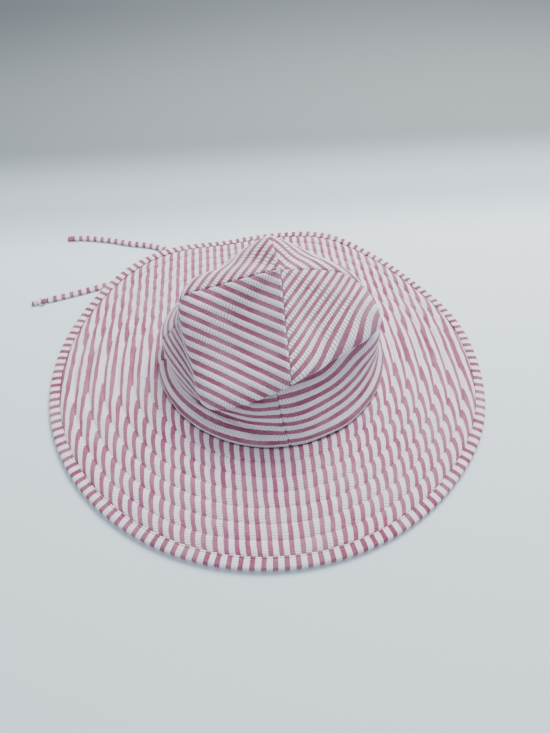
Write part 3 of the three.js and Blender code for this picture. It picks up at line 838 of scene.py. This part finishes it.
def make_knot(material):
    """An overhand knot: a narrow tape carried round a flattened loop that crosses itself, with its tail, a
    short flat end, lying beyond."""
    end, beside = np.array(LEFT_TIE[0]), np.array(LEFT_TIE[1])
    back = (end - beside) / np.linalg.norm(end - beside)
    loop = 2 * math.pi * np.linspace(0, 1, KNOT_STEPS, endpoint=False)
    x = 4.3 - 2.5 * np.cos(loop) * (1 + 0.2 * np.cos(3 * loop))
    y = 1.9 * np.sin(loop) + 0.9 * np.sin(2 * loop)
    z = 2.2 + 0.75 * np.sin(3 * loop)
    centre = np.stack([x, y, z], -1)
    forward = np.roll(centre, -1, 0) - np.roll(centre, 1, 0)
    forward /= np.linalg.norm(forward, axis=1, keepdims=True)
    side = np.cross(forward, (0, 0, 1))
    side /= np.linalg.norm(side, axis=1, keepdims=True)
    upward = np.cross(side, forward)
    a = np.linspace(0, 2 * math.pi, KNOT_SIDES, endpoint=False)[None, :, None]
    points = (centre[:, None] + KNOT_WIDTH * np.cos(a) * side[:, None]
              + KNOT_THICKNESS * np.sin(a) * upward[:, None])
    white = 0.5 + 0.33 * np.sin(loop + 1.0)[:, None]
    uv = np.stack(np.broadcast_arrays(1.7 * np.cos(a[..., 0]), white), -1)
    faces = grid_quads(KNOT_STEPS, KNOT_SIDES, True, True).tolist()

    s = np.linspace(0, 1, TAIL_STEPS)[:, None]
    rounded = np.sqrt(np.clip(1 - np.clip((s - 0.8) / 0.2, 0, 1) ** 2, 0.03, 1))
    squeeze = rounded * np.clip(0.5 + s * 2, 0, 1)
    tail = np.stack(np.broadcast_arrays(
        TAIL_START + TAIL_LENGTH * s,
        TAIL_WIDTH * np.cos(a[..., 0]) * squeeze,
        TAIL_MIDDLE + TAIL_THICKNESS * np.sin(a[..., 0]) * squeeze,
    ), -1)
    tail_uv = np.stack([tail[..., 1], (tail[..., 0] - TAIL_PINK) / TIE_PITCH], -1)
    first = KNOT_STEPS * KNOT_SIDES
    last = first + (TAIL_STEPS - 1) * KNOT_SIDES
    faces += (grid_quads(TAIL_STEPS, KNOT_SIDES, wrap_columns=True) + first).tolist()
    faces.append(list(range(first, first + KNOT_SIDES)))
    faces.append(list(range(last, last + KNOT_SIDES))[::-1])

    both = np.concatenate([points.reshape(-1, 3), tail.reshape(-1, 3)])
    spin = math.atan2(back[1], back[0])
    turned = both.copy()
    turned[:, 0] = end[0] + both[:, 0] * math.cos(spin) - both[:, 1] * math.sin(spin)
    turned[:, 1] = end[1] + both[:, 0] * math.sin(spin) + both[:, 1] * math.cos(spin)
    turned[:, 2] = np.maximum(turned[:, 2], TIE_LOWEST)
    uv = np.concatenate([uv.reshape(-1, 2), tail_uv.reshape(-1, 2)])
    piece = make_piece("tie_left_knot_tape", turned, faces, uv, "tie_left_knot")
    piece.data.materials.append(material)
    return piece


# Floor and light

FLOOR_HALF = 6.0
FLOOR_ROUGHNESS, FLOOR_GLOSS = 0.9, 0.2
# Painted light on the floor, brighter near the hat and falling off into painted shade behind it: tones,
# each with its place from front to back in metres
FLOOR_PAINTED_LIGHT = [
    (-0.3, (217, 231, 238)), (0.13, (226, 242, 254)), (0.22, (180, 194, 204)), (0.33, (126, 134, 138)),
    (0.8, (98, 104, 108)),
]


def floor_material():
    """Pale paper with painted light: a ramp over the floor's own Y, in metres, brightest near the hat and
    falling off into painted shade behind it.
    """
    mat = bpy.data.materials.new("floor_paper")
    mat.use_nodes = True
    tree = mat.node_tree
    shader = tree.nodes["Principled BSDF"]
    socket(shader, "Roughness", FLOOR_ROUGHNESS)
    socket(shader, "Specular IOR Level", FLOOR_GLOSS)
    place = tree.nodes.new("ShaderNodeTexCoord")
    split = tree.nodes.new("ShaderNodeSeparateXYZ")
    tree.links.new(place.outputs["Object"], split.inputs[0])
    spread = tree.nodes.new("ShaderNodeMapRange")
    low, high = FLOOR_PAINTED_LIGHT[0][0], FLOOR_PAINTED_LIGHT[-1][0]
    socket(spread, "From Min", low)
    socket(spread, "From Max", high)
    tree.links.new(split.outputs[1], spread.inputs["Value"])
    # Painted light and shade: the ramp's tones, not the lamps, brighten the floor near the hat and darken
    # it behind
    ramp = tree.nodes.new("ShaderNodeValToRGB")
    ramp.color_ramp.interpolation = "EASE"
    while len(ramp.color_ramp.elements) < len(FLOOR_PAINTED_LIGHT):
        ramp.color_ramp.elements.new(0.5)
    for element, (at, tone) in zip(ramp.color_ramp.elements, FLOOR_PAINTED_LIGHT):
        element.position = (at - low) / (high - low)
        element.color = (*linear(*tone), 1.0)
    tree.links.new(spread.outputs[0], ramp.inputs[0])
    tree.links.new(ramp.outputs[0], shader.inputs["Base Color"])
    return mat


def make_stage():
    """A wide flat floor."""
    corners = [(x * FLOOR_HALF, y * FLOOR_HALF, 0) for x, y in ((-1, -1), (1, -1), (1, 1), (-1, 1))]
    mesh = bpy.data.meshes.new("floor")
    mesh.from_pydata(corners, [], [(0, 1, 2, 3)])
    stage = bpy.data.objects.new("floor", mesh)
    bpy.context.scene.collection.objects.link(stage)
    mesh.materials.append(floor_material())


# Fill from all round: colour and strength
FILL_COLOUR, FILL_STRENGTH = (0.86, 0.92, 1.0, 1.0), 0.8
# Window: place, aim and size in metres, power in watts and colour
WINDOW_PLACE, WINDOW_AIM = Vector((0.32, 0.5, 0.95)), Vector((0.26, 0.38, 0))
WINDOW_SIZE, WINDOW_POWER = 0.6, 22.5
WINDOW_COLOUR = (1.0, 0.985, 0.97)


def make_lights():
    """A broad soft light above and behind to the right, with an even fill all round."""
    world = bpy.data.worlds.new("room")
    world.use_nodes = True
    background = world.node_tree.nodes["Background"]
    socket(background, "Color", FILL_COLOUR)
    socket(background, "Strength", FILL_STRENGTH)
    bpy.context.scene.world = world
    data = bpy.data.lights.new("window", "AREA")
    data.size = WINDOW_SIZE
    data.energy = WINDOW_POWER
    data.color = WINDOW_COLOUR
    lamp = bpy.data.objects.new("window", data)
    lamp.location = WINDOW_PLACE
    lamp.rotation_euler = (WINDOW_AIM - WINDOW_PLACE).to_track_quat("-Z", "Y").to_euler()
    bpy.context.scene.collection.objects.link(lamp)


add_camera()

tie_material = seersucker("tie_seersucker", PINK, WHITE, crimp=0.2)
knot = make_knot(tie_material)
make_tie("tie_right_tape", "tie_right", RIGHT_TIE, sewn_turn=4, slant=-0.2, pink_end=5.0,
         material=tie_material)
make_tie("tie_left_tape", "tie_left", LEFT_TIE, sewn_turn=180, slant=0.1, pink_end=0.0,
         material=tie_material)

# The brim's pink is the paler copy: painted light on the upward-facing brim
make_brim(seersucker("brim_seersucker", LIT_BRIM_PINK, WHITE, crimp=0.3))
make_binding(seersucker("binding_seersucker", PINK, WHITE, crimp=0.2))

crown_material = seersucker("crown_seersucker", PINK, WHITE, crimp=0.6)
for node, (start, pitches, first) in PANELS.items():
    make_panel(node, start, pitches, first, crown_material)

make_stage()
make_lights()
